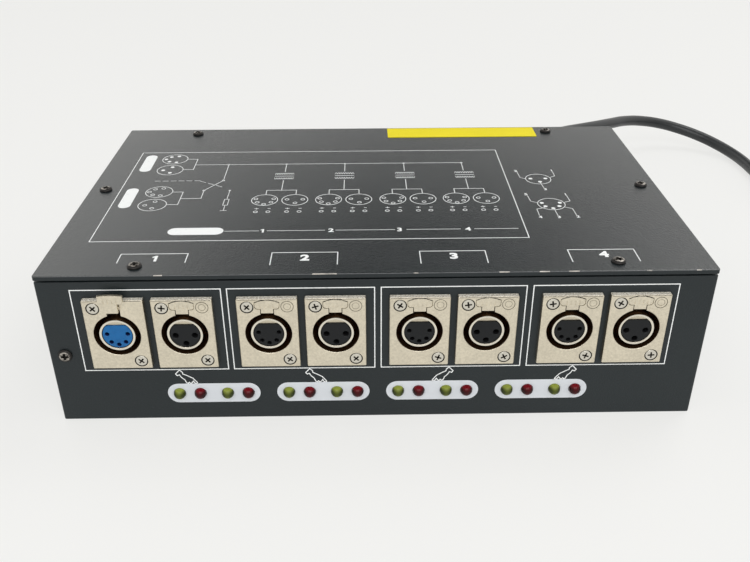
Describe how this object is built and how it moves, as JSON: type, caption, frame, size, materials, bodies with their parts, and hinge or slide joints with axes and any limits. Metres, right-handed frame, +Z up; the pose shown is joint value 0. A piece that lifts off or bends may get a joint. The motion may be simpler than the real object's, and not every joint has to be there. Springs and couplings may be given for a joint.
{
  "type": "dmx splitter",
  "caption": "Stage-lighting signal splitter: flat steel case with a row of chassis sockets, indicator lamps, rear inlets and a mains lead.",
  "frame": {"origin": "middle of the case's flat base, on the surface that it stands on", "axes": "+X to the right seen from the front face, +Y from the front face to the back face, +Z up"},
  "size_m": [0.5796, 0.3533, 0.0778],
  "materials": {
    "case_coat": "satin powder coat",
    "nickel": "satin nickel plate",
    "black_screw": "black zinc",
    "zinc": "zinc plate",
    "insert_black": "moulded",
    "insert_blue": "moulded",
    "label": "printed film",
    "lamp_green": "tinted clear resin",
    "lamp_red": "tinted clear resin",
    "print_white": "screen print",
    "board": "solder mask",
    "laminations": "varnished sheets",
    "winding_tape": "polyester tape",
    "fuse_glass": "glass and metal caps",
    "black_rubber": "satin moulded"
  },
  "bodies": {
    "case": {"base_tray": "case_coat", "top_cover": "case_coat", "cover_screw_1": "black_screw", "cover_screw_2": "black_screw", "cover_screw_3": "black_screw", "cover_screw_4": "black_screw", "cover_screw_5": "black_screw", "cover_screw_6": "black_screw", "bracket_screw": "black_screw", "corner_bracket": "zinc", "strip_label": "label", "socket_1_shell": "nickel", "socket_1_insert": "insert_blue", "socket_2_shell": "nickel", "socket_2_insert": "insert_black", "socket_3_shell": "nickel", "socket_3_insert": "insert_black", "socket_4_shell": "nickel", "socket_4_insert": "insert_black", "socket_5_shell": "nickel", "socket_5_insert": "insert_black", "socket_6_shell": "nickel", "socket_6_insert": "insert_black", "socket_7_shell": "nickel", "socket_7_insert": "insert_black", "socket_8_shell": "nickel", "socket_8_insert": "insert_black", "inlet_5pin_shell": "nickel", "inlet_5pin_insert": "insert_black", "inlet_3pin_shell": "nickel", "inlet_3pin_insert": "insert_black", "link_5pin_shell": "nickel", "link_5pin_insert": "insert_black", "link_3pin_shell": "nickel", "link_3pin_insert": "insert_black", "mode_switch_body": "insert_black", "main_board": "board", "board_fuse": "fuse_glass", "lamp_board_1": "lamp_green", "lamp_board_2": "lamp_green", "lamp_board_3": "lamp_green", "lamp_board_4": "lamp_green", "transformer_core": "laminations", "transformer_winding": "winding_tape", "strain_relief": "black_rubber", "mains_lead": "black_rubber", "lead_coil": "black_rubber", "mains_plug": "black_rubber"},
    "socket_1_latch": {"socket_1_latch": "nickel"},
    "socket_2_latch": {"socket_2_latch": "nickel"},
    "socket_3_latch": {"socket_3_latch": "nickel"},
    "socket_4_latch": {"socket_4_latch": "nickel"},
    "socket_5_latch": {"socket_5_latch": "nickel"},
    "socket_6_latch": {"socket_6_latch": "nickel"},
    "socket_7_latch": {"socket_7_latch": "nickel"},
    "socket_8_latch": {"socket_8_latch": "nickel"},
    "link_5pin_latch": {"link_5pin_latch": "nickel"},
    "link_3pin_latch": {"link_3pin_latch": "nickel"},
    "mode_switch_slider": {"mode_switch_slider": "insert_black"}
  },
  "joints": [
    {"name": "socket_1_latch_slip", "type": "slide", "parent": "case", "child": "socket_1_latch", "axis": [0, 0, -1], "range_m": [0, 0.0032]},
    {"name": "socket_2_latch_press", "type": "hinge", "parent": "case", "child": "socket_2_latch", "pos_m": [-0.083, -0.089, 0.06385], "axis": [1, 0, 0], "range_deg": [0, 5], "stiffness_Nm_per_rad": 0.08, "springref_deg": -1.72},
    {"name": "socket_3_latch_press", "type": "hinge", "parent": "case", "child": "socket_3_latch", "pos_m": [-0.047, -0.089, 0.06385], "axis": [1, 0, 0], "range_deg": [0, 5], "stiffness_Nm_per_rad": 0.08, "springref_deg": -1.72},
    {"name": "socket_4_latch_press", "type": "hinge", "parent": "case", "child": "socket_4_latch", "pos_m": [-0.018, -0.089, 0.06385], "axis": [1, 0, 0], "range_deg": [0, 5], "stiffness_Nm_per_rad": 0.08, "springref_deg": -1.72},
    {"name": "socket_5_latch_press", "type": "hinge", "parent": "case", "child": "socket_5_latch", "pos_m": [0.018, -0.089, 0.06385], "axis": [1, 0, 0], "range_deg": [0, 5], "stiffness_Nm_per_rad": 0.08, "springref_deg": -1.72},
    {"name": "socket_6_latch_press", "type": "hinge", "parent": "case", "child": "socket_6_latch", "pos_m": [0.047, -0.089, 0.06385], "axis": [1, 0, 0], "range_deg": [0, 5], "stiffness_Nm_per_rad": 0.08, "springref_deg": -1.72},
    {"name": "socket_7_latch_press", "type": "hinge", "parent": "case", "child": "socket_7_latch", "pos_m": [0.083, -0.089, 0.06385], "axis": [1, 0, 0], "range_deg": [0, 5], "stiffness_Nm_per_rad": 0.08, "springref_deg": -1.72},
    {"name": "socket_8_latch_press", "type": "hinge", "parent": "case", "child": "socket_8_latch", "pos_m": [0.112, -0.089, 0.06385], "axis": [1, 0, 0], "range_deg": [0, 5], "stiffness_Nm_per_rad": 0.08, "springref_deg": -1.72},
    {"name": "link_5pin_latch_press", "type": "hinge", "parent": "case", "child": "link_5pin_latch", "pos_m": [-0.046, 0.091, 0.0566], "axis": [-1, 0, 0], "range_deg": [0, 5], "stiffness_Nm_per_rad": 0.08, "springref_deg": -1.72},
    {"name": "link_3pin_latch_press", "type": "hinge", "parent": "case", "child": "link_3pin_latch", "pos_m": [-0.014, 0.091, 0.0566], "axis": [-1, 0, 0], "range_deg": [0, 5], "stiffness_Nm_per_rad": 0.08, "springref_deg": -1.72},
    {"name": "mode_switch_slide", "type": "slide", "parent": "case", "child": "mode_switch_slider", "axis": [-1, 0, 0], "range_m": [0, 0.004]}
  ]
}
